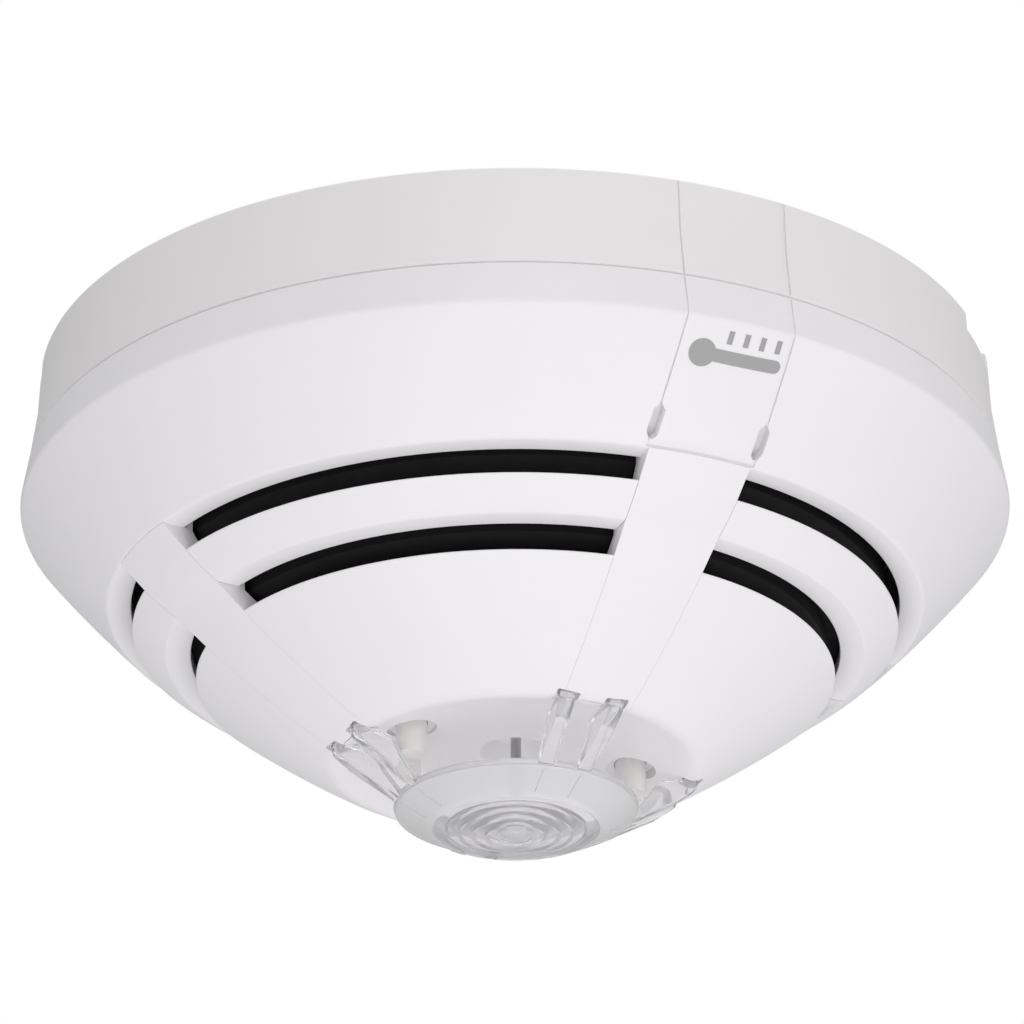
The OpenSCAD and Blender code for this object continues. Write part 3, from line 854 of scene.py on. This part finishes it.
def build_ribs():
    for q in range(4):
        rib = spun(slice_solid(f"rib_{q + 1}_piece", rib_outline(), rib_half, 12), 90 * q)
        boolean(rib, leg_cuts())
        settle(rib, "head", "cover_white", f"rib_{q + 1}", COVER)


# ---- Light guide, sensor and posts ----
def fin(name, side, outline, width):
    """A plate of the given width with an outline of (radius, height) points, standing at one leg's place."""
    plate = prism(name, [(-r, z) for r, z in outline], -width / 2, width / 2, 40)
    place(plate, Matrix(((0, 0, 1, 0), (1, 0, 0, 0), (0, 1, 0, 0), (0, 0, 0, 1))))
    moved(plate, 0, LED_R, 0)
    spun(plate, side * LEG_LEAN)
    return moved(plate, side * LEG_X, -LED_R, 0)


def build_leg(side):
    """Upright inside the nose, then a slanted fin that narrows towards the lens."""
    outline = rounded([(20.3, -40), (20.3, -48.4, 0.3), (19.3, -48.6, 0.5), (16.9, -49.1, 0.8),
                       (15.7, -50.9, 1.2), (13.2, -53.8), (13.9, -54.3), (19.2, -51.3, 1.5),
                       (21.4, -49.6, 0.8), (21.7, -48.9, 0.5), (21.7, -40)], 5)
    return bevel(fin("leg", side, outline, LEG_W), 0.16, 35)


def build_ridge(side):
    """A fine line on the lens that carries a leg's edge on towards the middle."""
    outline = [(13.5, -54.3), (13.5, -54.7), (10.4, -56.32), (10.2, -56.1)]
    return fin("ridge", side, outline, 0.35)


def round_the_guide(name, build):
    """One piece from eight copies of what build(side) makes, two for each rib."""
    copies = [spun(build(side), 90 * q + GUIDE_TURN) for q in range(4) for side in (-1, 1)]
    return joined(name, copies)


def dome_z(r):
    """Height of the lens's domed middle at a radius."""
    low_z = LENS_LOW + 0.1
    return low_z + (DOME_Z - low_z) * (r / DOME_R) ** 2


def lens_outline():
    """Rim, frosted cone and stepped Fresnel middle, then the hollow back."""
    rim = LENS_RIM_Z
    out = [(LENS_R - 1.0, rim + 0.6, 0.2), (LENS_R, rim + 0.6, 0.25), (LENS_R, rim + 0.05, 0.15),
           (LENS_R - 0.18, rim - 0.05, 0.1), (LENS_R - 0.1, rim - 0.28, 0.2), (LENS_R - 0.7, rim - 0.6, 0.2),
           (DOME_R, DOME_Z, 0.2)]
    rings = 5
    middle = 1.9
    for k in range(rings):
        r0 = DOME_R - (DOME_R - middle) * k / rings
        r1 = DOME_R - (DOME_R - middle) * (k + 1) / rings
        out.append((r0 - 0.25, dome_z(r0) + 0.28, 0.1))
        out.append((r1 + 0.1, dome_z(r1), 0.12))
    out += [(middle - 0.1, dome_z(middle) + 0.2, 0.1), (1.3, LENS_LOW + 0.12, 0.3), (0.02, LENS_LOW + 0.02)]
    out += [(0.02, -56.7), (8, -55.9, 0.5), (9.4, -55.2, 0.4), (LENS_R - 1.4, -53.9, 0.4)]
    return rounded(out, 5)


def build_light_guide():
    """Lens disc, legs and ridges in one piece: clear legs, frosted cone and clear middle."""
    guide = lathe("light_guide_piece", lens_outline(), 192)
    boolean(guide, [round_the_guide("legs", build_leg), round_the_guide("ridges", build_ridge)], "UNION", 35)
    settle(guide, "head", "clear_plastic", "light_guide", CLEAR, FROST, LENS)
    for face in guide.data.polygons:
        centre = face.center / MM
        r = math.hypot(centre.x, centre.y)
        if r < LENS_R + 0.01 and centre.z < LENS_RIM_Z + 0.62:
            face.material_index = 2 if r < DOME_R else 1
    guide.visible_shadow = False


def build_posts():
    """The carrier plate behind the bowl, its stands, and the two posts that reach down to the lens."""
    outline = rounded([(0.02, -29.4), (18.5, -29.4, 0.3), (18.5, -31, 0.3), (0.02, -31)])
    plate = lathe("sensor_carrier_piece", outline, 96)
    adds = []
    for side in (-1, 1):
        post = rounded([(0.02, -30), (POST_R, -30), (POST_R, POST_TIP, 0.3), (0.02, POST_TIP)])
        adds.append(moved(lathe("post", post, 48), side * POST[0], POST[1], 0))
    for k in range(4):
        stand = moved(prism("stand", disc_outline(2.2, steps=32), -30, -22.6), 0, -15, 0)
        adds.append(spun(stand, 45 + 90 * k))
    boolean(plate, adds, "UNION")
    hole = prism("hole", disc_outline(3), -40, -20)
    room = box("room", (-20, -10, -60), (20, -0.75, -50.4))
    boolean(plate, [hole, room])
    settle(plate, "head", "inner_white", "sensor_carrier", INNER)


def build_sleeve():
    """A thin steel tube, closed at its tip, with a flange that rests in the recess."""
    tip = low("sensor_sleeve")
    flange = SLEEVE_R + 0.9
    bore = SLEEVE_R - 0.15
    outline = rounded([(0.02, tip), (SLEEVE_R, tip, 0.3), (SLEEVE_R, CUP_Z), (flange, CUP_Z, 0.1),
                       (flange, CUP_Z + 0.8, 0.1), (SLEEVE_R, CUP_Z + 0.8), (SLEEVE_R, -42), (bore, -42),
                       (bore, tip + 0.3), (0.02, tip + 0.3)])
    sleeve = lathe("sensor_sleeve_piece", outline, 64)
    settle(sleeve, "head", "sensor_steel", "sensor_sleeve", STEEL)


# ---- Materials of the CAD nodes that stay ----
def finish_nodes():
    by_four = {"terminal": BRASS, "contact": ZINC, "led": LED_RED}
    finishes = {f"{name}_{k}": material for name, material in by_four.items() for k in range(1, 5)}
    finishes |= {"terminal_clamps": ZINC, "terminal_screws": ZINC, "lever_pin": ZINC, "lock_lever": LEVER,
                 "chassis": INNER, "dust_seal": RUBBER, "air_shield": BLACK, "thermistor": GLASS_BEAD,
                 "circuit_board": BOARD, "board_screws": ZINC, "microcontroller": CHIP, "capacitors": CAN,
                 "terminal_header": CHIP}
    for node, material in finishes.items():
        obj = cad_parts[node]
        if not obj.material_slots:
            obj.data.materials.append(material)
        for slot in obj.material_slots:
            slot.material = material


add_camera()
add_studio()
build_base()
build_index_tab()
build_outer_cover()
build_label_plate()
build_label_symbol()
build_louvre()
build_nose()
build_ribs()
build_light_guide()
build_posts()
build_sleeve()
finish_nodes()
